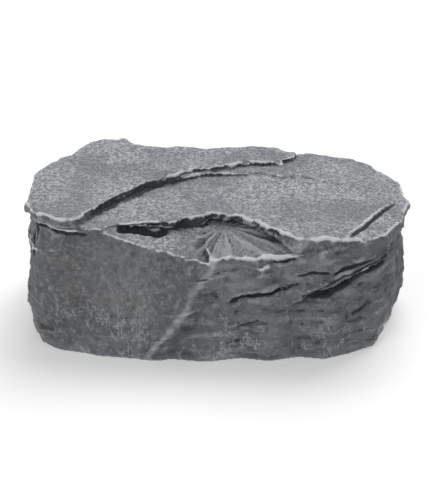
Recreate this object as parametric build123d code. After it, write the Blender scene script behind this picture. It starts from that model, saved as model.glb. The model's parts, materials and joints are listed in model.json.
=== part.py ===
from build123d import *
from math import ceil, hypot, sin
import os

# A hollow cast-resin stone that hides a spare key: a one-piece stone body with a key compartment
# cut up from its base, and a stepped cover plate that slides out of the base at one end.
# X runs along the stone, towards the cover's outer end. Y runs from its front to its back.
# Z is up from the flat base that it rests on. The origin is the middle of that base.

# The stone
ROCK_LENGTH = 124.0
ROCK_DEPTH = 77.0
SLAB_TOP = 45.6            # height of the highest layer, over the middle of the base
BELLY_HEIGHT = 12.0        # height of the widest ring, above which the walls lean in
FOOT_INSET = 1.6           # how far the base stands in from the belly, at the front and back
TOP_INSET = 1.2            # how far the highest layer stands in from it

# Its two thick beds, and the sheets of the upper one
SPLIT_HEIGHT = 11.0        # height of the deep split between the beds, in the middle
SPLIT_SLOPE = 0.43         # rise of that split for each millimetre to the right
SPLIT_GAP = 1.6            # how far it stands open at the front right
SHEET_LEVEL = 21.0         # height of the first sheet's floor, in the middle
SHEET_SLOPE = 0.27         # rise of every sheet for each millimetre to the right
SHEET_HEIGHT = 9.5
SHEET_RELIEF = 2.2         # how far a sheet's broken edge stands in from the outline at the most
# Two waves along the outline move the sheets' edges in and out. Each has its swing as a share of
# that relief, and its turn in radians from corner to corner and from sheet to sheet.
SHEET_WAVES = ((0.3, 0.8, 2.6), (0.2, 2.1, 4.3))
SHORT_SPLIT_GAP = 0.9      # height of the shorter split over the sheets' first floor, past the ridge

# The layers that have broken off its top, one below the other
TERRACE_DROP = 2.7         # step down from the highest layer to the middle one
LEAF_THICKNESS = 1.0       # thin leaf that is left on the back of the middle layer
CHIP_DROP = 2.4            # step down from the middle layer to the chip at the front
WEDGE_DROP = 1.2           # step down from the middle layer to the wedge beside that chip
UNDERLAY = 1.2             # height of the soft layer that has weathered out under a rim
UNDERLAY_DEPTH = 2.4       # how far it has weathered in
RIM_THICKNESS = 2.8        # hard rim over it, above the large face at the front left
CREVICE_FOOT = 14.0        # the upright crevice at the closed end starts at this height
CREVICE_HEIGHT = 26.0

# How each of those faces lies: its rise to the right and to the back, and the point of the plan
# where its height is taken, as shares of half the stone's length and half its depth.
SLAB_TILT = (-0.02, -0.02, 0, 0)
SLAB_END_TILT = (-0.085, -0.02, 0.08, 0)       # the slab thins out towards its right end
NOTCH_TILT = (0, -1, 0, 0.72)                  # broken edge at the back
LEAF_TILT = (-0.035, -0.05, 0, 0.20)
TERRACE_TILT = (-0.012, -0.03, 0, 0)
CHIP_TILT = (0.07, 0.19, 0.11, -0.52)
WEDGE_TILT = (-0.22, 0.25, -0.41, -0.74)

# The slide way in the base and the key compartment above it
MOUTH_WIDTH = 45.0         # opening between the two lips
LIP_THICKNESS = 2.5
GROOVE_DEPTH = 2.0         # how far each groove runs in behind its lip
GROOVE_HEIGHT = 3.6
END_WALL = 10.5            # from the stone's closed end to the slide way
LEDGE = 2.6                # how far the ledge under the cover shows inside the lips
OPEN_END_WALL = 11.0       # wall between the compartment and the open end
COMPARTMENT_DEPTH = 19.0   # from the ledge to the compartment's flat roof
CORNER_RADIUS = 1.5        # upright corners of the compartment

# The sliding cover
SLIDE_CLEARANCE = 0.3      # on each side of the cover, and over and under its flange
BASE_RECESS = 0.4          # the cover's outer face lies this far inside the base
FACE_BEVEL = 0.5           # along the edges of the cover's outer face
COVER_CORNER = 2.0         # corners of the cover's inner end
SCOOP_WIDTH = 31.0         # thumb scoop, from tip to tip
SCOOP_RISE = 5.5           # bulge of its curved wall
SCOOP_DEPTH = 1.7
SCOOP_FROM_END = 7.5       # from the stone's open end to the scoop's tips

# Plan outlines, anticlockwise from the closed end's front corner. Each point is a share of half
# the stone's length and half its depth.
UPPER_BED = [
    (-0.99, -0.45), (-0.94, -0.67), (-0.84, -0.78), (-0.64, -0.88), (-0.36, -0.95), (-0.03, -1.00),
    (0.30, -0.99), (0.53, -1.00), (0.74, -0.95), (0.87, -0.80), (0.98, -0.52), (1.02, -0.16),
    (1.00, 0.22), (0.90, 0.46), (0.76, 0.73), (0.58, 0.86), (0.37, 0.96), (0.16, 0.97),
    (-0.16, 0.94), (-0.36, 1.00), (-0.54, 0.94), (-0.80, 0.80), (-0.95, 0.64), (-0.99, 0.42),
    (-0.97, 0.12), (-1.00, -0.14),
]
LOWER_BED = [
    (-0.99, -0.45), (-0.94, -0.67), (-0.84, -0.78), (-0.64, -0.88), (-0.36, -0.95), (-0.05, -0.97),
    (0.12, -0.91), (0.27, -0.96), (0.43, -0.89), (0.56, -0.93), (0.70, -0.83), (0.83, -0.70),
    (0.90, -0.46), (0.96, -0.20), (0.96, 0.24), (0.87, 0.42), (0.82, 0.64), (0.60, 0.82),
    (0.35, 0.93), (0.08, 0.89), (-0.16, 0.92), (-0.36, 0.96), (-0.56, 0.90), (-0.83, 0.78),
    (-0.96, 0.64), (-0.99, 0.42), (-0.97, 0.12), (-1.00, -0.14),
]
# What has broken away above a layer, or weathered out of one. Shares again, and each outline
# runs past the stone's own.
ABOVE_STONE = [(-1.20, -1.20), (1.20, -1.20), (1.20, 1.20), (-1.20, 1.20)]
ABOVE_TERRACE = [
    (-0.72, -1.20), (-0.66, -0.86), (-0.54, -0.50), (-0.45, -0.36), (-0.32, -0.07), (-0.26, 0.06),
    (-0.13, 0.26), (0.10, 0.40), (0.33, 0.52), (0.41, 0.72), (0.44, 1.20), (1.20, 1.20), (1.20, -1.20),
]
ABOVE_LEAF = [
    (-0.90, -1.20), (-0.40, -0.06), (-0.06, 0.28), (0.06, 0.25), (0.16, 0.27), (0.23, 0.33),
    (0.31, 0.26), (0.46, 0.24), (0.58, 0.20), (0.66, 0.11), (1.20, 0.02), (1.20, -1.20),
]
ABOVE_CHIP = [
    (-0.09, -0.56), (-0.02, -0.46), (0.11, -0.52), (0.22, -0.64), (0.33, -0.82), (0.43, -1.02),
    (0.46, -1.30), (-0.09, -1.30),
]
ABOVE_WEDGE = [
    (-0.64, -0.90), (-0.52, -0.73), (-0.38, -0.70), (-0.26, -0.66), (-0.13, -0.55), (-0.06, -0.53),
    (-0.02, -1.30), (-0.64, -1.30),
]
WEDGE_CREVICE = [
    (-0.46, -0.80), (-0.42, -0.68), (-0.30, -0.62), (-0.22, -0.62), (-0.24, -0.80),
]
BACK_NOTCH = [
    (-0.56, 1.30), (-0.50, 0.92), (-0.45, 0.79), (-0.38, 0.74), (-0.02, 0.71), (0.09, 0.72),
    (0.17, 0.79), (0.27, 0.83), (0.36, 0.81), (0.46, 0.73), (0.56, 1.30),
]
OPEN_SPLIT = [
    (0.42, -1.30), (0.42, -0.93), (0.60, -0.82), (0.76, -0.66), (0.86, -0.38), (0.92, -0.05),
    (0.92, 0.20), (1.30, 0.20), (1.30, -1.30),
]
SHORT_SPLIT = [
    (0.02, -1.30), (0.05, -0.94), (0.18, -0.90), (0.32, -0.90), (0.45, -0.96), (0.46, -1.30),
]
UNDER_RIM = [
    (-1.20, -0.50), (-0.95, -0.46), (-0.86, -0.62), (-0.76, -0.72), (-0.60, -0.84), (-0.56, -1.20),
    (-1.20, -1.20),
]
END_CREVICE = [(-1.20, -0.52), (-0.95, -0.44), (-1.20, -0.44)]
# Beside the ridge at the front: the ridge's top is the first point, and its foot is given below.
RIDGE_FLAKE = [(-0.02, -0.99), (0.09, -0.94), (0.34, -1.00), (0.34, -1.20), (-0.02, -1.20)]
RIDGE_TOP_HEIGHT = 34.0
RIDGE_FOOT = (-0.35, -0.94)

# Cleavage faces: a point of each, as shares of the plan and a height, and its outward direction.
FOOT_CUT_HEIGHT = 6.0      # of the undercut foot at the closed end's front corner
CLEAVAGES = [
    ((-0.02, -1.00, RIDGE_TOP_HEIGHT), (-0.185, -0.980, 0.034)),      # large face, front left
    ((-0.02, -0.99, RIDGE_TOP_HEIGHT), (-0.018, -0.998, -0.063)),     # front right, past the ridge
    ((-0.95, -0.66, FOOT_CUT_HEIGHT), (-0.73, -0.60, -0.33)),         # undercut foot, closed end
    ((-0.93, -0.71, FOOT_CUT_HEIGHT), (-0.55, -0.60, -0.58)),         # undercut foot, front left
    ((-0.84, 0.40, SLAB_TOP), (-0.83, 0.49, 0.27)),                   # back shoulder, closed end
    ((0.89, 0.54, 0.9 * SLAB_TOP), (0.58, 0.64, 0.50)),               # back shoulder, open end
    ((0.97, -0.56, 0.93 * SLAB_TOP), (0.74, -0.52, 0.42)),            # front shoulder, open end
]

# Heights from the plane that the stone rests on, and where the slide way starts
LEDGE_HEIGHT = LIP_THICKNESS + GROOVE_HEIGHT
SLIDE_START = END_WALL - ROCK_LENGTH / 2
BED_TOP = 1.2 * SLAB_TOP   # the beds reach past the highest layer before their tops break off


def plan_point(x_share, y_share):
    """A point of the plan, in millimetres."""
    return x_share * ROCK_LENGTH / 2, y_share * ROCK_DEPTH / 2


def plan_face(shares, inset=0, height=0):
    """The face inside a closed outline, drawn in from the front and back by an inset."""
    scale = 1 - inset / (ROCK_DEPTH / 2)
    points = [plan_point(scale * x, scale * y) for x, y in shares]
    return Pos(0, 0, height) * make_face(Polyline(*points, close=True))


def tilted_plane(height, x_rise, y_rise, x_share=0, y_share=0):
    """A plane at a height over a point of the plan, that rises by its slopes to the right and back."""
    return Plane(origin=(*plan_point(x_share, y_share), height), z_dir=(-x_rise, -y_rise, 1))


def above(outline, floor):
    """All that stands inside an outline and over a tilted floor."""
    column = extrude(plan_face(outline), 2 * SLAB_TOP)
    return split(column, bisect_by=floor, keep=Keep.TOP)


def between(solid, floor, thickness):
    """The part of a solid that lies over a tilted floor, up to a thickness."""
    roof = Plane(origin=floor.origin + Vector(0, 0, thickness), z_dir=floor.z_dir)
    return split(split(solid, bisect_by=floor, keep=Keep.TOP), bisect_by=roof, keep=Keep.BOTTOM)


def layer(outline, floor, thickness):
    """A layer of one thickness inside an outline, on a tilted floor."""
    return between(extrude(plan_face(outline), 2 * SLAB_TOP), floor, thickness)


def bed(outline):
    """One thick bed of stone, widest at the belly, and higher than the highest layer."""
    rings = ((FOOT_INSET, 0), (0, BELLY_HEIGHT), (TOP_INSET, BED_TOP))
    return loft([plan_face(outline, inset, height) for inset, height in rings], ruled=True)


def sheet_outline(outline, number):
    """A bed's outline where one of its sheets broke: each corner stands in by an amount of its own."""
    shares = []
    for corner, (x, y) in enumerate(outline):
        wave = sum(
            swing * (1 + sin(corner_turn * corner + sheet_turn * number))
            for swing, corner_turn, sheet_turn in SHEET_WAVES
        )
        scale = 1 - SHEET_RELIEF * wave / hypot(*plan_point(x, y))
        shares.append((scale * x, scale * y))
    return shares


def upper_bed():
    """The upper bed, sheet by sheet, from the ground to above the highest layer."""
    rise = SHEET_SLOPE * ROCK_LENGTH / 2
    sheets_below = ceil((SHEET_LEVEL + rise) / SHEET_HEIGHT)
    sheets_above = ceil((SLAB_TOP + rise - SHEET_LEVEL) / SHEET_HEIGHT)
    sheets = []
    for number in range(-sheets_below, sheets_above):
        floor = tilted_plane(SHEET_LEVEL + number * SHEET_HEIGHT, SHEET_SLOPE, 0)
        sheets.append(between(bed(sheet_outline(UPPER_BED, number)), floor, SHEET_HEIGHT))
    return Part() + sheets


def cleaved_beds():
    """Both beds, on either side of the deep split, with their cleavage faces."""
    deep_split = tilted_plane(SPLIT_HEIGHT, SPLIT_SLOPE, 0)
    short_split = tilted_plane(SHEET_LEVEL, SHEET_SLOPE, 0)
    stone = split(upper_bed(), bisect_by=deep_split, keep=Keep.TOP)
    stone += split(bed(LOWER_BED), bisect_by=deep_split, keep=Keep.BOTTOM)
    for (x_share, y_share, height), outward in CLEAVAGES:
        face = Plane(origin=(*plan_point(x_share, y_share), height), z_dir=outward)
        stone = split(stone, bisect_by=face, keep=Keep.BOTTOM)
    stone -= layer(OPEN_SPLIT, deep_split, SPLIT_GAP)
    stone -= layer(SHORT_SPLIT, short_split, SHORT_SPLIT_GAP)
    return stone - ridge_flake()


def ridge_flake():
    """The long flake that has broken off beside the ridge, from the chip at its top to its foot."""
    top = Vector(*plan_point(*RIDGE_FLAKE[0]), RIDGE_TOP_HEIGHT)
    along = Vector(*plan_point(*RIDGE_FOOT), 0) - top
    start = plan_face(RIDGE_FLAKE, 0, RIDGE_TOP_HEIGHT)
    return extrude(start, along.length, dir=along) + extrude(start, SLAB_TOP, dir=-along)


def stone_block():
    """The stone before the slide way and the compartment are cut out of it."""
    terrace_top = SLAB_TOP - TERRACE_DROP
    chip = tilted_plane(terrace_top - CHIP_DROP, *CHIP_TILT)
    wedge = tilted_plane(terrace_top - WEDGE_DROP, *WEDGE_TILT)
    stone = cleaved_beds()
    for outline, floor in (
        (ABOVE_STONE, tilted_plane(SLAB_TOP, *SLAB_TILT)),
        (ABOVE_STONE, tilted_plane(SLAB_TOP, *SLAB_END_TILT)),
        (ABOVE_TERRACE, tilted_plane(terrace_top + LEAF_THICKNESS, *LEAF_TILT)),
        (ABOVE_LEAF, tilted_plane(terrace_top, *TERRACE_TILT)),
        (BACK_NOTCH, tilted_plane(SLAB_TOP, *NOTCH_TILT)),
        (ABOVE_CHIP, chip),
        (ABOVE_WEDGE, wedge),
    ):
        stone -= above(outline, floor)

    # Soft layers weathered out under the rims, and the upright crevice of the closed end.
    stone -= Pos(0, UNDERLAY_DEPTH, 0) * layer(ABOVE_CHIP, chip, UNDERLAY)
    stone -= layer(WEDGE_CREVICE, wedge, UNDERLAY)
    rim_floor = tilted_plane(SLAB_TOP - RIM_THICKNESS - UNDERLAY, *SLAB_TILT)
    stone -= layer(UNDER_RIM, rim_floor, UNDERLAY)
    stone -= layer(END_CREVICE, tilted_plane(CREVICE_FOOT, 0, 0), CREVICE_HEIGHT)
    middle = stone.bounding_box().center()
    return Pos(-middle.X, -middle.Y, 0) * stone


def bar(start, half_width, bottom, top):
    """A straight bar along the slide way, from a start to past the stone's open end."""
    length = ROCK_LENGTH - start
    return Pos(start, 0, bottom) * Box(
        length, 2 * half_width, top - bottom, align=(Align.MIN, Align.CENTER, Align.MIN)
    )


def slide_way():
    """The stepped way that the cover slides in: a mouth between the lips and a groove behind them."""
    mouth = bar(SLIDE_START, MOUTH_WIDTH / 2, -LIP_THICKNESS, LEDGE_HEIGHT)
    groove = bar(
        SLIDE_START - GROOVE_DEPTH, MOUTH_WIDTH / 2 + GROOVE_DEPTH, LIP_THICKNESS, LEDGE_HEIGHT
    )
    return mouth + groove


def compartment():
    """The hollow for the key, inside the ledge that the cover slides over."""
    start = SLIDE_START + LEDGE
    length = ROCK_LENGTH / 2 - OPEN_END_WALL - start
    plan = Pos(start + length / 2, 0) * RectangleRounded(length, MOUTH_WIDTH - 2 * LEDGE, CORNER_RADIUS)
    return extrude(Pos(0, 0, LIP_THICKNESS) * plan, GROOVE_HEIGHT + COMPARTMENT_DEPTH)


def rock_body(stone):
    """The one-piece casting: the stone with its slide way and compartment."""
    return stone - slide_way() - compartment()


def thumb_scoop():
    """The half-moon that a thumb pushes in: a curved wall, and a floor that rises to the end."""
    tips = ROCK_LENGTH / 2 - SCOOP_FROM_END
    crescent = ThreePointArc(
        (tips, -SCOOP_WIDTH / 2), (tips - SCOOP_RISE, 0), (tips, SCOOP_WIDTH / 2)
    )
    mouth = Polyline(
        (tips, SCOOP_WIDTH / 2), (ROCK_LENGTH / 2, MOUTH_WIDTH / 4), (ROCK_LENGTH / 2, -MOUTH_WIDTH / 4),
        (tips, -SCOOP_WIDTH / 2),
    )
    column = extrude(make_face(crescent + mouth), BASE_RECESS + SCOOP_DEPTH)
    slope = SCOOP_DEPTH / (SCOOP_RISE + SCOOP_FROM_END)
    floor = Plane(
        origin=(tips - SCOOP_RISE, 0, BASE_RECESS + SCOOP_DEPTH), z_dir=(slope, 0, 1)
    )
    return split(column, bisect_by=floor, keep=Keep.BOTTOM)


def slide_cover(stone):
    """The stepped cover plate, whose outer end carries on the rough end of the stone."""
    half_mouth = MOUTH_WIDTH / 2 - SLIDE_CLEARANCE
    flange_bottom = LIP_THICKNESS + SLIDE_CLEARANCE
    flange_top = LEDGE_HEIGHT - SLIDE_CLEARANCE
    start = SLIDE_START + SLIDE_CLEARANCE
    plate = bar(start, half_mouth, BASE_RECESS, flange_top)
    plate = chamfer(plate.faces().sort_by(Axis.Z)[0].edges(), FACE_BEVEL)
    flange = bar(start - GROOVE_DEPTH, half_mouth + GROOVE_DEPTH, flange_bottom, flange_top)
    inner_corners = flange.edges().filter_by(Axis.Z).sort_by(Axis.X)[:2]
    cover = plate + fillet(inner_corners, COVER_CORNER)
    return (cover & stone) - thumb_scoop()


if __name__ == "__main__":
    os.makedirs("parts", exist_ok=True)
    stone = stone_block()
    for name, shape in (("rock_body", rock_body(stone)), ("slide_cover", slide_cover(stone))):
        export_step(shape, f"parts/{name}.step")
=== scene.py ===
import json
import math

import bpy
import numpy as np
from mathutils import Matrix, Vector, noise


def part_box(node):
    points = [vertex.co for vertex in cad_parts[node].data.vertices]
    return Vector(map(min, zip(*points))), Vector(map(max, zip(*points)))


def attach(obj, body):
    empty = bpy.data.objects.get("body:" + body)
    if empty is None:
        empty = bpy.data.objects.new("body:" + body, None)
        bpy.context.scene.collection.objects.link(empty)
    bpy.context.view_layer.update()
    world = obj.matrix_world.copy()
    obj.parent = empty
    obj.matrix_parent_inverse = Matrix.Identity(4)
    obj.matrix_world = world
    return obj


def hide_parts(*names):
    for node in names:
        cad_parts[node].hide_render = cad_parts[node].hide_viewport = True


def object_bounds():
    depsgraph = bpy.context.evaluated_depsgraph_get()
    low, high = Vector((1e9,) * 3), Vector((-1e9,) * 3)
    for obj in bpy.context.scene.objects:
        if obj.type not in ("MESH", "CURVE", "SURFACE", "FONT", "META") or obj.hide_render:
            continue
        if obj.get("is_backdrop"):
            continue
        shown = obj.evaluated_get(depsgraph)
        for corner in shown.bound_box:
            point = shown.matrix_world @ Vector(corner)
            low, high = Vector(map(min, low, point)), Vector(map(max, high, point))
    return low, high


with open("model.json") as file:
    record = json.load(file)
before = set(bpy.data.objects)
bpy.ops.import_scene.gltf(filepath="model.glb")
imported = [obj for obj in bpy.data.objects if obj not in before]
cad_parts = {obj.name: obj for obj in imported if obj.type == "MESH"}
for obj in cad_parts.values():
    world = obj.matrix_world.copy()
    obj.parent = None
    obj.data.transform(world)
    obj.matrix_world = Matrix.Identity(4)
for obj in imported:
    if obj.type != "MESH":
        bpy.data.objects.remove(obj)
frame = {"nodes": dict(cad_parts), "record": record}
cad_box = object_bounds()
bpy.ops.object.select_all(action="DESELECT")


# ---- The stone -------------------------------------------------------------------------------
# A one-piece casting of filled resin. Its outside is taken from split slate: two thick beds, thin
# sheets left on top, chips along the front, and a grain like leather. The base ring, the slide way
# and the compartment came smooth out of the mould.

MM = 0.001                       # sizes are in millimetres, and Blender's own are in metres
STONE_VOXEL = 0.45
STONE_TRIANGLES = 196_000
MERGE_DISTANCE = 0.002
SEED_STEP = 17.3                 # how far apart in the noise two seeds lie
BED_SLOPE = 0.27                 # the layers rise this much to the right


def select_only(piece):
    """Makes a piece the one that the operators act on."""
    bpy.ops.object.select_all(action="DESELECT")
    piece.select_set(True)
    bpy.context.view_layer.objects.active = piece


def copy_of_node(node, name):
    """A new object on a merged copy of a CAD node's mesh."""
    piece = bpy.data.objects.new(name, frame["nodes"][node].data.copy())
    bpy.context.scene.collection.objects.link(piece)
    piece.data.materials.clear()
    select_only(piece)
    bpy.ops.object.mode_set(mode="EDIT")
    bpy.ops.mesh.select_all(action="SELECT")
    bpy.ops.mesh.remove_doubles(threshold=MERGE_DISTANCE * MM)
    bpy.ops.object.mode_set(mode="OBJECT")
    return piece


def apply_modifier(piece, kind, **settings):
    """Adds one modifier, sets it and applies it."""
    select_only(piece)
    modifier = piece.modifiers.new(kind.title(), kind)
    for name, value in settings.items():
        setattr(modifier, name, value)
    bpy.ops.object.modifier_apply(modifier=modifier.name)


def read_vertices(vertices, name):
    """Three numbers of every vertex, one row each."""
    flat = np.empty(3 * len(vertices), np.float32)
    vertices.foreach_get(name, flat)
    return flat.reshape(-1, 3).astype(float)


def places_of(piece):
    """Every vertex's place, in millimetres."""
    return read_vertices(piece.data.vertices, "co") / MM


def normals_of(piece):
    """Every vertex's normal."""
    return read_vertices(piece.data.vertex_normals, "vector")


def move_vertices(piece, places):
    """Puts every vertex at its place in millimetres."""
    piece.data.vertices.foreach_set("co", (places * MM).astype(np.float32).ravel())
    piece.data.update()


def keep_attribute(piece, name, values):
    """Keeps one number at every vertex, for the material to read."""
    attribute = piece.data.attributes.new(name, "FLOAT", "POINT")
    attribute.data.foreach_set("value", values.astype(np.float32))


def ease(values, start, end):
    """0 below start and 1 above end, with a smooth rise between them."""
    share = np.clip((values - start) / (end - start), 0, 1)
    return share * share * (3 - 2 * share)


def fractal(places, size, octaves, seed):
    """Cloudy noise, about -1 to 1, with lumps of this size. Each seed gives another cloud."""
    rows = places / size + SEED_STEP * seed
    return np.array([noise.fractal(Vector(row), 1.0, 2.0, octaves) for row in rows])


def chips(places, size, seed):
    """Flat chips of random tilt, of three sizes along X, Y and Z, with a small step between them."""
    tilt_draw, step_draw = 31.7, 47.9      # a chip's centre times these picks its tilt and its step
    step = 0.35
    rows = places / np.array(size) + SEED_STEP * seed
    heights = []
    for row in rows:
        place = Vector(row)
        centre = noise.voronoi(place)[1][0]
        tilt = noise.cell_vector(centre * tilt_draw) - Vector((0.5, 0.5, 0.5))
        heights.append(tilt.dot(place - centre) + step * (noise.cell(centre * step_draw) - 0.5))
    return np.array(heights)


def strata(places, thickness, run, seed):
    """Slate's split edge: layers of one thickness, each out or in by its own amount along its run."""
    sag = 0.175                  # how far the layers rise and fall, as a share of the run
    turn_over = 0.78             # where a layer's edge begins to turn over into the next one
    slant = 0.25                 # how far a layer's own edge slants
    between_layers = 3.7         # how far apart in the noise two layers lie
    level = (places[:, 2] - BED_SLOPE * places[:, 0]) / thickness
    level += sag * run / thickness * fractal(places, 1.5 * run, 2, seed)
    layer = np.floor(level)
    share = level - layer

    def reach(layer):
        along = places[:, :2].T / run
        return fractal(np.stack([*along, between_layers * layer + seed], axis=1), 1, 2, seed)

    step = ease(share, turn_over, 1.0)
    return reach(layer) * (1 - step) + reach(layer + 1) * step + slant * (share - step)


def neighbour_mean(piece, values, rounds):
    """Values averaged over each vertex's neighbours, so many times."""
    edges = np.empty(2 * len(piece.data.edges), np.int32)
    piece.data.edges.foreach_get("vertices", edges)
    a, b = edges.reshape(-1, 2).T
    size = len(values)
    count = np.maximum(np.bincount(a, minlength=size) + np.bincount(b, minlength=size), 1)
    columns = values.reshape(size, -1).T
    for _ in range(rounds):
        columns = [
            0.5 * column
            + 0.5 * (np.bincount(a, column[b], size) + np.bincount(b, column[a], size)) / count
            for column in columns
        ]
    return np.stack(columns, axis=1).reshape(values.shape)


def proudness(piece, rounds):
    """How many millimetres each vertex stands out of its surroundings."""
    places = places_of(piece)
    return np.sum((places - neighbour_mean(piece, places, rounds)) * normals_of(piece), axis=1)


def crevice(places, start, end, width, axes=(0, 2)):
    """1 along a crack at the front, and 0 away from it. Its ends are given on two of the axes."""
    wander = 0.9
    start = np.array(start, float)
    end = np.array(end, float)
    along = end - start
    length = np.hypot(*along)
    along /= length
    offset = places[:, axes] - start
    share = offset @ along / length
    distance = offset @ np.array((-along[1], along[0])) + wander * fractal(places, 6, 3, 20)
    opening, closing = ease(share, -0.04, 0.12), ease(share, 1.04, 0.7)
    at_front = places[:, 1] < 0
    return opening * closing * at_front * np.exp(-((distance / width) ** 2))


stone = copy_of_node("rock_body", "stone_casting")
apply_modifier(stone, "REMESH", mode="VOXEL", voxel_size=STONE_VOXEL * MM)

# The smooth, moulded places: the base, and all that lies inside the slide way and the compartment.
WALL_REACH = 1.8                 # how far past a hollow's own size its walls are looked for
OUTWARD = 0.25                   # a face that points outwards more than this is the stone's outside
BASE_SKIN = 0.2
FOOT_FADE = 2.5                  # the base stays flat: the roughness fades out down to it

cover_low, cover_high = (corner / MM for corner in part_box("slide_cover"))
room_low, room_high = np.array(frame["record"]["physics"]["openings"][0]["box_m"]) / MM
places = places_of(stone)
facing = normals_of(stone)
x, y, z = places.T
half_length, half_depth = (half / MM for half in cad_box[1][:2])
outward = facing[:, 0] * x / half_length + facing[:, 1] * y / half_depth
in_way = (
    (z < cover_high.z + WALL_REACH) & (x > cover_low.x - WALL_REACH)
    & (np.abs(y) < cover_high.y + WALL_REACH) & (outward < OUTWARD)
)
in_room = (
    (z < room_high[2] + WALL_REACH) & (np.abs(y) < room_high[1] + WALL_REACH)
    & (x > room_low[0] - WALL_REACH) & (x < room_high[0] + WALL_REACH)
)
moulded = neighbour_mean(stone, (in_way | in_room | (z < BASE_SKIN)).astype(float), 2)
keep_attribute(stone, "moulded", moulded)
rough = (1 - moulded) * ease(z, 0, FOOT_FADE)

# The edges wander: everything rough is shifted along X and Y by noise, so no step runs straight.
sway = np.zeros_like(places)
for axis, seed in enumerate((1, 2)):
    shift = 1.2 * fractal(places, 15, 2, seed) + 0.8 * fractal(places, 5, 3, seed + 10)
    sway[:, axis] = shift * rough
places += sway
move_vertices(stone, places)

# The faces: the tops, the large flat face on the left of the ridge, and the broken sides.
RIDGE_FOOT = -21.3               # where the ridge between the two front faces meets the ground,
RIDGE_LEAN = 0.585               # and how far it leans to the right for each millimetre of height
RIDGE_WIDTH = 1.1
RIDGE_WANDER = 1.6

facing = normals_of(stone)
x, y, z = places.T
top = ease(facing[:, 2], 0.55, 0.85)
side = 1 - top
frontal = side * ease(-facing[:, 1], 0.2, 0.5)
left_of_ridge = RIDGE_FOOT + RIDGE_LEAN * z - x + RIDGE_WANDER * fractal(places, 9, 3, 21)
large_face = frontal * ease(left_of_ridge, -1, 3)
ridge = frontal * np.exp(-((left_of_ridge / RIDGE_WIDTH) ** 2))
broken = side * (1 - 0.9 * large_face)

# The small splits, each with a light lip beside it.
SPLITS = (                       # on the front: ends as X and Z, width and depth
    ((3, 21.6), (25, 27.6), 0.8, 1.2),      # the two long splits past the ridge
    ((27, 22.5), (58, 36), 2.0, 2.8),
    ((24, 31.6), (36, 32), 0.5, 0.9),       # the short ones over them
    ((35, 31.2), (49, 36), 0.6, 1.2),
    ((17, 35.6), (25, 37.4), 0.5, 0.9),
    ((-57, 43.6), (-38, 41.4), 0.8, 1.2),   # and the two at the left end, under the slab's rim
    ((-55.5, 44), (-58, 29), 1.0, 1.2),
)
LIP_RISE = 2.1                   # the layer over a split stands out a little, this far above it,
LIP_RELIEF = 0.3                 # by this share of the split's depth
TOP_SPLITS = (                   # on the tops: ends as X and Y, width, depth, and where the lip is
    ((-31, -28.8), (-14, -25.6), 1.2, 2.0, (0, 1.8)),     # a pocket under the middle layer's edge
    ((40, -35), (58, -4), 0.8, 1.2, (-1.3, 0.8)),         # a flake that lifts off at the right end
)
TOP_LIP_WIDTH = 0.7
TOPS_FROM, TOPS_TO = 34, 37      # between these heights the sides give way to the tops

cracks = np.zeros(len(x))
lips = np.zeros(len(x))
for (start_x, start_z), (end_x, end_z), width, depth in SPLITS:
    crack = crevice(places, (start_x, start_z), (end_x, end_z), width)
    lip = crevice(places, (start_x, start_z + LIP_RISE), (end_x, end_z + LIP_RISE), 1.5 * width)
    cracks = np.maximum(cracks, depth * crack * frontal)
    lips = np.maximum(lips, LIP_RELIEF * depth * lip * frontal)

top_lips = np.zeros(len(x))
up_high = ease(z, TOPS_FROM, TOPS_TO)
upward = ease(facing[:, 2], 0.0, 0.3) * up_high
for start, end, width, depth, beside in TOP_SPLITS:
    crack = crevice(places, start, end, width, axes=(0, 1))
    lip = crevice(places, np.add(start, beside), np.add(end, beside), TOP_LIP_WIDTH, axes=(0, 1))
    cracks = np.maximum(cracks, depth * crack * upward)
    top_lips = np.maximum(top_lips, lip * upward)

# The chip at the front broke off in a fan of shallow ribs that start from one point.
FAN_X, FAN_Y = 2, -19.5
CHIP_TOP = 41.5                  # the chip lies under this height, right of its left end, and
CHIP_LEFT = -8                   # in front of its back
CHIP_BACK = -15
RIBS_PER_RADIAN = 7
RIB_LENGTH = 22

chip = top * ease(z, CHIP_TOP, CHIP_TOP - 1.3)
chip = chip * ease(x, CHIP_LEFT, CHIP_LEFT + 3) * ease(y, CHIP_BACK, CHIP_BACK - 3)
turn = np.arctan2(y - FAN_Y, x - FAN_X)
reach = np.hypot(x - FAN_X, y - FAN_Y)
ribs = np.stack([RIBS_PER_RADIAN * turn, reach / RIB_LENGTH, 0 * x], axis=1)
fan = chip * ease(reach, 1, 5) * fractal(ribs, 1, 3, 23)

# The relief: how far each place stands out, in millimetres. Each line is an amount, where it is,
# and a pattern given by its size, its octaves or its run, and its seed.
NEAR_ROUNDS, WIDE_ROUNDS = 8, 30        # how many neighbours away a vertex's surroundings reach

edge = ease(proudness(stone, WIDE_ROUNDS), 0.10, 0.40)
wear = ease(fractal(places, 6, 3, 5), 0.0, 0.6)
out = 0.50 * fractal(places, 26, 2, 3)                      # wide swells
out += 0.30 * top * fractal(places, 14, 2, 22)
out += (0.24 * top + 0.26 * side) * fractal(places, 8, 3, 4)
out -= 0.7 * edge * wear                                    # edges broken back here and there
out += 0.55 * broken * strata(places, 5.2, 26, 6)           # thick and thin layers
out += 0.20 * broken * strata(places, 1.8, 15, 7)
out += 0.22 * broken * chips(places, (10, 10, 4), 8)
out += (0.07 + 0.06 * broken + 0.07 * top) * fractal(places, 1.9, 3, 9)     # fine pitting
out += 0.55 * fan + 0.35 * ridge + lips - cracks            # and the forms worked out above
move_vertices(stone, places + facing * (out * rough)[:, None])

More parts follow.
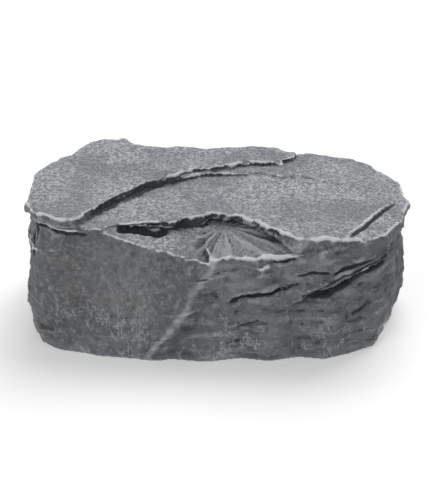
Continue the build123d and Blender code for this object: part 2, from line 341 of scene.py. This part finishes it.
# What the paint follows. Rims are where a top ends, and step walls are sides well inside the outline.
LEDGES_FROM, LEDGES_TO = 27, 31  # between these heights the rims of tops and ledges begin
FOOT_TO, FOOT_FROM = 28, 6       # and between these the foot of the sides ends
WALLS_FROM, WALLS_TO = 35, 38
OUTLINE_FROM, OUTLINE_TO = 0.82, 0.74   # of the plan's radius squared

top_near = neighbour_mean(stone, top * ease(z, LEDGES_FROM, LEDGES_TO), 6)
plan_radius = (x / half_length) ** 2 + (y / half_depth) ** 2
inside = ease(plan_radius, OUTLINE_FROM, OUTLINE_TO) * ease(z, WALLS_FROM, WALLS_TO)
keep_attribute(stone, "top", neighbour_mean(stone, top * up_high * (1 - 0.5 * chip), 2))
keep_attribute(stone, "rims", np.maximum(4 * top_near * (1 - top_near), top_lips))
keep_attribute(stone, "foot", ease(z, FOOT_TO, FOOT_FROM))
keep_attribute(stone, "step_walls", side * inside)
keep_attribute(stone, "fan", fan)
keep_attribute(stone, "large_face", large_face)
keep_attribute(stone, "ridge", ridge * rough)
keep_attribute(stone, "cracks", cracks * rough)
keep_attribute(stone, "proud_near", proudness(stone, NEAR_ROUNDS))
keep_attribute(stone, "proud_wide", proudness(stone, WIDE_ROUNDS))
triangles = 2 * len(stone.data.polygons)
if triangles > STONE_TRIANGLES:
    apply_modifier(stone, "DECIMATE", ratio=STONE_TRIANGLES / triangles)
select_only(stone)
bpy.ops.object.shade_smooth()


class Shade:
    """One output of a material's nodes. Arithmetic on it adds the Math nodes that work it out."""

    def __init__(self, tree, socket=None):
        self.tree = tree
        self.socket = socket

    def add(self, kind, settings, sockets, output=0):
        """A node of any kind: its settings are set first, then its sockets get values or links."""
        node = self.tree.nodes.new(kind)
        for name, value in settings.items():
            setattr(node, name, value)
        for name, value in sockets.items():
            if isinstance(value, Shade):
                self.tree.links.new(value.socket, node.inputs[name])
            else:
                node.inputs[name].default_value = value
        return Shade(self.tree, node.outputs[output] if node.outputs else None)

    def math(self, operation, *values):
        """A Math node on these values."""
        return self.add("ShaderNodeMath", {"operation": operation}, dict(enumerate(values)))

    def __add__(self, other):
        return self.math("ADD", self, other)

    def __sub__(self, other):
        return self.math("SUBTRACT", self, other)

    def __rsub__(self, other):
        return self.math("SUBTRACT", other, self)

    def __mul__(self, other):
        return self.math("MULTIPLY", self, other)

    __radd__ = __add__
    __rmul__ = __mul__

    def held(self, name):
        """A number that is kept at every vertex."""
        return self.add("ShaderNodeAttribute", {"attribute_name": name}, {}, "Fac")

    def cloud(self, scale, detail=3, roughness=0.5):
        """Noise of 0 to 1, read at this place, with so many lumps in a metre."""
        sockets = {"Vector": self, "Scale": scale, "Detail": detail, "Roughness": roughness}
        return self.add("ShaderNodeTexNoise", {}, sockets, "Fac")

    def turned(self, turn, stretch):
        """This place, turned about Y and scaled along X, Y and Z."""
        sockets = {"Vector": self, "Rotation": (0, turn, 0), "Scale": stretch}
        return self.add("ShaderNodeMapping", {}, sockets)

    def capped(self, most=1.0):
        """The same, but never over a limit."""
        return self.math("MINIMUM", self, most)

    def lines(self, width):
        """1 on thin winding lines: where a noise of 0 to 1 passes through its middle."""
        middle = self - 0.5
        return middle.math("ABSOLUTE", middle).rise(width, 0.0)

    def rise(self, start, end):
        """0 below start and 1 above end, smoothly between. With start over end it falls instead."""
        return self.add(
            "ShaderNodeMapRange", {"interpolation_type": "SMOOTHSTEP"},
            {"Value": self, "From Min": start, "From Max": end},
        )

    def tint(self, low, high):
        """A colour, from low where this is 0 to high where it is 1."""
        return self.add(
            "ShaderNodeMix", {"data_type": "RGBA"}, {0: self, 6: colour(low), 7: colour(high)}, 2
        )


def colour(value):
    """A colour as a socket takes it: a link as it is, or three numbers with an alpha of 1."""
    return value if isinstance(value, Shade) else (*value, 1)


def new_finish(name):
    """An empty material, and the Shade that starts its nodes."""
    material = bpy.data.materials.new(name)
    material.use_nodes = True
    material.node_tree.nodes.clear()
    return material, Shade(material.node_tree)


def stone_finish():
    """Painted resin: dark slate, dry-brushed light along edges and grain, with painted shade down in
    cracks.
    """
    material, start = new_finish("painted_slate")
    held = start.held
    place = start.add("ShaderNodeTexCoord", {}, {}, "Object")
    moulded, top, large = held("moulded"), held("top"), held("large_face")
    near, wide, fan = held("proud_near"), held("proud_wide"), held("fan")

    def cloud(scale, detail=3, roughness=0.55):
        return place.cloud(scale, detail, roughness)

    # Slate: soft blue-grey clouds and strokes, and a few warm stains.
    patches = cloud(55, 3)
    strokes = cloud(260, 3, 0.6)
    slate = (patches * 0.55 + strokes * 0.45).rise(0.36, 0.66)
    slate = slate.tint((0.080, 0.088, 0.098), (0.158, 0.168, 0.181))
    stain = cloud(34, 2).rise(0.50, 0.68) * (0.25 + large * 0.30)
    slate = stain.tint(slate, (0.150, 0.134, 0.125))

    # A leather grain that the dry brush caught, strongest on the tops.
    grain = (cloud(430, 2).lines(0.085) * 0.7 + cloud(700, 2).lines(0.10) * 0.55).capped()
    specks = cloud(1050, 2).rise(0.56, 0.68)
    caught = (grain * 0.72 + specks * 0.62).capped() * (top * 0.84 + 0.07)
    caught = caught * (0.42 + cloud(60, 3).rise(0.34, 0.60) * 0.58)
    slate = (top * 0.38).tint(slate, (0.238, 0.252, 0.268))
    slate = caught.tint(slate, (0.62, 0.64, 0.665))

    # The fan of ribs on the chip, light on their backs and dark between them.
    slate = (fan.rise(0.08, 0.40) * 0.55).tint(slate, (0.40, 0.405, 0.415))
    slate = (fan.rise(-0.08, -0.40) * 0.65).tint(slate, (0.055, 0.059, 0.064))

    # The flat front face is stippled, lighter and darker.
    stipple = cloud(620, 3, 0.65)
    slate = (stipple.rise(0.53, 0.68) * large * 0.52).tint(slate, (0.30, 0.303, 0.31))
    slate = (stipple.rise(0.46, 0.32) * large * 0.62).tint(slate, (0.05, 0.054, 0.06))

    # Thin layers show on the broken sides as light and dark streaks along the beds.
    layers = place.turned(math.atan(BED_SLOPE), (0.24, 0.3, 1)).cloud(330, 4, 0.62)
    split_side = (1 - top) * (1 - large * 0.75)
    slate = (layers.rise(0.52, 0.66) * split_side * 0.62).tint(slate, (0.27, 0.275, 0.285))
    slate = (layers.rise(0.46, 0.33) * split_side * 0.78).tint(slate, (0.045, 0.048, 0.053))

    # Light scribbles where the brush ran over the sides.
    strokes_slant = 0.9
    scribble = place.turned(strokes_slant, (1, 1, 0.42)).cloud(230, 3, 0.6).lines(0.024)
    brushed_over = cloud(95, 2).rise(0.44, 0.60) * (1 - top) * (0.25 + held("foot") * 0.75)
    slate = (scribble * brushed_over * 0.58).tint(slate, (0.44, 0.445, 0.455))

    # Dry brushing on what stands proud, a painted highlight along the ridge, and painted shade in
    # what lies deep.
    patchy = cloud(330, 3).rise(0.30, 0.62)
    broken_up = cloud(900, 2).rise(0.25, 0.60)
    # painted highlight: a soft light band along the ridge, where it would catch the light
    ridge = held("ridge").rise(0.05, 0.9) * (0.30 + patchy * 0.45)
    slate = ridge.tint(slate, (0.33, 0.335, 0.34))
    rims = held("rims").rise(0.15, 0.75)
    outline = held("rims").rise(0.55, 0.95) * near.rise(-0.03, 0.05)
    rim = near.rise(0.05, 0.20) * (0.16 + rims * 0.84) + outline * 0.55
    rim = rim * (0.35 + patchy * 0.35 + broken_up * 0.30)
    rim = rim + wide.rise(0.25, 0.65) * 0.20 * broken_up
    worn = rim.capped(0.92).tint(slate, (0.70, 0.71, 0.72))
    # painted shade: near-black in hollows and cracks, and low on the step walls, where shade falls
    painted_shade = wide.rise(-0.10, -0.45) * (0.90 - large * 0.6) + held("cracks").rise(0.20, 0.7)
    painted_shade = painted_shade + held("step_walls").rise(0.3, 0.9) * near.rise(0.14, 0.04) * 0.8
    painted = painted_shade.capped(0.94).tint(worn, (0.016, 0.018, 0.021))

    # The moulded base and hollows: the bare resin, a smooth blue-grey.
    resin = cloud(45, 3).rise(0.3, 0.7).tint((0.235, 0.25, 0.268), (0.30, 0.315, 0.335))
    resin = (cloud(500, 2).rise(0.5, 0.75) * 0.25).tint(resin, (0.36, 0.37, 0.385))
    resin = (near.rise(0.10, 0.3) * 0.5).tint(resin, (0.48, 0.49, 0.50))
    base = moulded.tint(painted, resin)

    relief = grain * (0.35 + top * 0.65) + cloud(1300, 3) * 0.8 + strokes * 0.5
    relief = relief * (1 - moulded * 0.8) * (1 - large * 0.45)
    bump = {"Height": relief, "Strength": 0.8, "Distance": 0.50 * MM}
    shader = start.add("ShaderNodeBsdfPrincipled", {}, {
        "Base Color": base,
        "Roughness": 0.62 + 0.2 * patches,
        "Normal": start.add("ShaderNodeBump", {}, bump),
        "Specular IOR Level": 0.35,
    })
    start.add("ShaderNodeOutputMaterial", {}, {"Surface": shader})
    return material


stone.data.materials.append(stone_finish())
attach(stone, "stone")
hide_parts("rock_body")


# ---- The sliding cover -----------------------------------------------------------------------
# A flat resin plate with a stepped edge that runs in the stone's grooves. Its outer face was
# brushed lengthwise with paint, and its outer end is a piece of the stone's own broken outside.

COVER_VOXEL = 0.4
ROUGH_FROM, ROUGH_TO = 0.78, 0.85       # the broken outer end, as shares of the way out
ROUGH_INWARD = 0.35              # it is broken back, on the whole, by this much
FINE_ROUNDS, BROAD_ROUNDS = 3, 16       # how many neighbours away a vertex's surroundings reach

cover = copy_of_node("slide_cover", "cover_plate")
apply_modifier(cover, "REMESH", mode="VOXEL", voxel_size=COVER_VOXEL * MM)
apply_modifier(cover, "SMOOTH", factor=0.5, iterations=2)
places = places_of(cover)
facing = normals_of(cover)
broken_end = ease(facing[:, 0], 0.25, 0.6) * ease(places[:, 0] / cover_high.x, ROUGH_FROM, ROUGH_TO)
broken_end = neighbour_mean(cover, broken_end, 2)
rough_out = 0.9 * chips(places, (7, 7, 3), 8) + 0.25 * fractal(places, 2.5, 3, 9) - ROUGH_INWARD
smooth_out = 0.03 * fractal(places, 5, 2, 10)
out = broken_end * rough_out + (1 - broken_end) * smooth_out
move_vertices(cover, places + facing * out[:, None])
keep_attribute(cover, "broken_end", broken_end)
keep_attribute(cover, "proud_fine", proudness(cover, FINE_ROUNDS))
keep_attribute(cover, "proud_wide", proudness(cover, BROAD_ROUNDS))
select_only(cover)
bpy.ops.object.shade_smooth()


def cover_finish():
    """Grey resin with light paint brushed along it, lighter edges, and painted shade where it lies
    deep.
    """
    material, start = new_finish("brushed_resin")
    place = start.add("ShaderNodeTexCoord", {}, {}, "Object")
    fine, wide, end = start.held("proud_fine"), start.held("proud_wide"), start.held("broken_end")

    def drawn_out(scale, detail, share):
        """Noise whose lumps are drawn out along the cover: share is their width over their length."""
        return place.turned(0, (share, 1, 1)).cloud(scale, detail)

    # Bare resin with warm patches.
    resin = place.cloud(40).rise(0.3, 0.7).tint((0.255, 0.26, 0.27), (0.315, 0.317, 0.322))
    warm = (place.cloud(30, 2).rise(0.5, 0.7) * 0.6).tint(resin, (0.315, 0.30, 0.285))

    # Light and dark brush strokes along it.
    streaks = drawn_out(900, 3, 0.035).rise(0.52, 0.72) * drawn_out(55, 2, 0.3).rise(0.38, 0.6)
    brushed = (streaks * 0.7).tint(warm, (0.50, 0.50, 0.505))
    dark_lines = drawn_out(700, 2, 0.05).rise(0.42, 0.30) * 0.35
    brushed = dark_lines.tint(brushed, (0.17, 0.172, 0.178))

    # Light worn edges, and painted shade where it lies deep.
    edge = wide.rise(0.06, 0.3) * 0.7 + fine.rise(0.015, 0.06) * 0.35
    worn = edge.capped(0.85).tint(brushed, (0.56, 0.56, 0.57))
    # painted shade: darker where the surface lies deep
    painted_shade = wide.rise(-0.08, -0.4) * 0.7
    base = painted_shade.tint(worn, (0.06, 0.062, 0.066))

    relief = drawn_out(800, 2, 0.06) * 0.5 + place.cloud(1400) * (0.3 + end)
    bump = {"Height": relief, "Strength": 0.35, "Distance": 0.25 * MM}
    shader = start.add("ShaderNodeBsdfPrincipled", {}, {
        "Base Color": base,
        "Roughness": 0.5 + 0.25 * place.cloud(60, 2),
        "Normal": start.add("ShaderNodeBump", {}, bump),
        "Specular IOR Level": 0.4,
    })
    start.add("ShaderNodeOutputMaterial", {}, {"Surface": shader})
    return material


cover.data.materials.append(cover_finish())
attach(cover, "cover")
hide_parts("slide_cover")


# ---- The studio ------------------------------------------------------------------------------
# A seamless white floor, a soft key light from above and behind, and a weak fill from the front.
# From beneath the floor is clear, and what faces it is lit as by a plain white table.

FLOOR_SIZE = 3.0                 # sizes here are in metres
FLOOR_SHIFT = 0.4                # keeps the seam between its two triangles clear of the stone
FLOOR_WHITE = (0.86, 0.86, 0.86, 1)
WHITE = (1, 1, 1, 1)
FLOOR_GLOW = 0.22                # added for the camera alone, so that the background is white
FLOOR_BOUNCE = 0.85              # what the floor gives back to the stone
WORLD_LIGHT = 0.42
TARGET = Vector((0, 0, 22 * MM))
CAMERA_DISTANCE = 0.6
CAMERA_ELEVATION = math.radians(27)
PIXELS_PER_METRE = 3070          # at the target, in the photograph's frame
LONG_SIDE_PIXELS = 495
SENSOR = 36.0
NEAREST = 0.01                   # the camera cuts off what is nearer than this

bpy.ops.mesh.primitive_plane_add(size=FLOOR_SIZE, location=(FLOOR_SHIFT, 0, 0))
floor = bpy.context.active_object
floor.name = "floor"
material, start = new_finish("white_floor")
to_camera = start.add("ShaderNodeLightPath", {}, {}, "Is Camera Ray")
to_stone = start.add("ShaderNodeLightPath", {}, {}, "Is Diffuse Ray")
beneath = start.add("ShaderNodeNewGeometry", {}, {}, "Backfacing")
white = start.add("ShaderNodeBsdfDiffuse", {}, {"Color": FLOOR_WHITE})
glow = start.add("ShaderNodeEmission", {}, {"Color": WHITE, "Strength": to_camera * FLOOR_GLOW})
lit = start.add("ShaderNodeAddShader", {}, {0: white, 1: glow})
bounce = start.add("ShaderNodeEmission", {}, {"Color": WHITE, "Strength": FLOOR_BOUNCE})
above = start.add("ShaderNodeMixShader", {}, {0: to_stone, 1: lit, 2: bounce})
clear = start.add("ShaderNodeBsdfTransparent", {}, {})
surface = start.add("ShaderNodeMixShader", {}, {0: beneath, 1: above, 2: clear})
start.add("ShaderNodeOutputMaterial", {}, {"Surface": surface})
floor.data.materials.append(material)
floor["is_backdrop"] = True


def soft_box(name, place, size, watts):
    """A square area light that faces the stone."""
    bpy.ops.object.light_add(type="AREA", location=place)
    lamp = bpy.context.active_object
    lamp.name = name
    lamp.data.size = size
    lamp.data.energy = watts
    lamp.rotation_euler = (TARGET - Vector(place)).to_track_quat("-Z", "Y").to_euler()


soft_box("key", place=(0.25, 0.45, 1.0), size=0.8, watts=8.3)
soft_box("fill", place=(-0.7, -0.9, 0.5), size=0.9, watts=4.5)

world = bpy.data.worlds.new("studio")
bpy.context.scene.world = world
world.use_nodes = True
world.node_tree.nodes.clear()
start = Shade(world.node_tree)
camera_ray, glossy_ray, clear_ray = [
    start.add("ShaderNodeLightPath", {}, {}, name)
    for name in ("Is Camera Ray", "Is Glossy Ray", "Is Transmission Ray")
]
seen = (camera_ray + glossy_ray + clear_ray).capped()
strength = WORLD_LIGHT + seen * (1 - WORLD_LIGHT)     # it is white where it is seen
background = start.add("ShaderNodeBackground", {}, {"Color": WHITE, "Strength": strength})
start.add("ShaderNodeOutputWorld", {}, {"Surface": background})

bpy.ops.object.camera_add()
camera = bpy.context.active_object
back = Vector((0, -math.cos(CAMERA_ELEVATION), math.sin(CAMERA_ELEVATION)))
camera.location = TARGET + back * CAMERA_DISTANCE
camera.rotation_euler = (-back).to_track_quat("-Z", "Y").to_euler()
camera.data.sensor_width = SENSOR
camera.data.lens = PIXELS_PER_METRE * CAMERA_DISTANCE / LONG_SIDE_PIXELS * SENSOR
camera.data.clip_start = NEAREST
bpy.context.scene.camera = camera
bpy.context.scene.view_settings.view_transform = "Standard"

boxes = {"cad": cad_box, "visual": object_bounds()}
{name: [list(corner) for corner in box] for name, box in boxes.items()}
